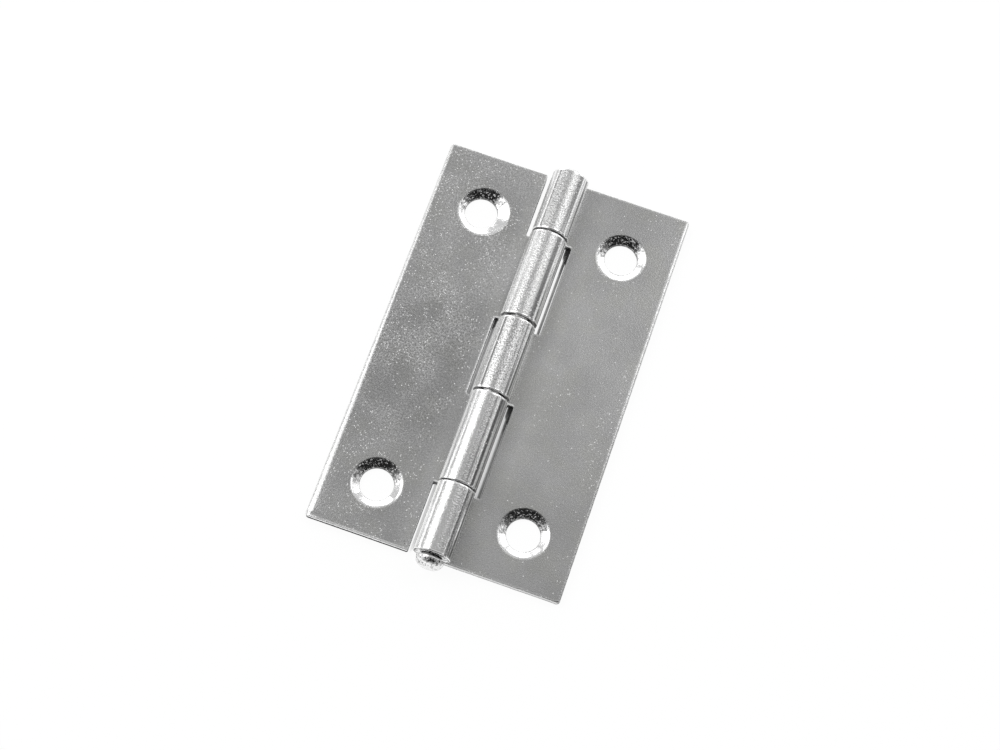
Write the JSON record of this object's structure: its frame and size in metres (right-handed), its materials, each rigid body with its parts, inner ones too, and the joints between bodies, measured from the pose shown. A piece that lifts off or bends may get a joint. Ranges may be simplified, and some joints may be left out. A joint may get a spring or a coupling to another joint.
{
  "type": "butt hinge",
  "caption": "Small zinc-plated steel butt hinge, lying open flat: two pressed leaves with rolled knuckles on a headed pin and countersunk screw holes.",
  "frame": {"origin": "middle of the open hinge's footprint, on the plane of the leaves' backs", "axes": "+Y along the pin, away from the pin's button; +X across, towards the leaf with the outer knuckles; +Z away from the backs, on the side of the countersinks"},
  "size_m": [0.0306, 0.052, 0.0045],
  "materials": {
    "leaf_plate": "bright zinc plate over cold-rolled sheet, fine grain",
    "pin_plate": "bright zinc plate over drawn wire"
  },
  "bodies": {
    "fixed_leaf": {"right_leaf": "leaf_plate", "hinge_pin": "pin_plate"},
    "swinging_leaf": {"left_leaf": "leaf_plate"}
  },
  "joints": [
    {"name": "leaf_swing", "type": "hinge", "parent": "fixed_leaf", "child": "swinging_leaf", "pos_m": [0, 0, 0.00225], "axis": [0, 1, 0], "range_deg": [-100, 180]}
  ]
}
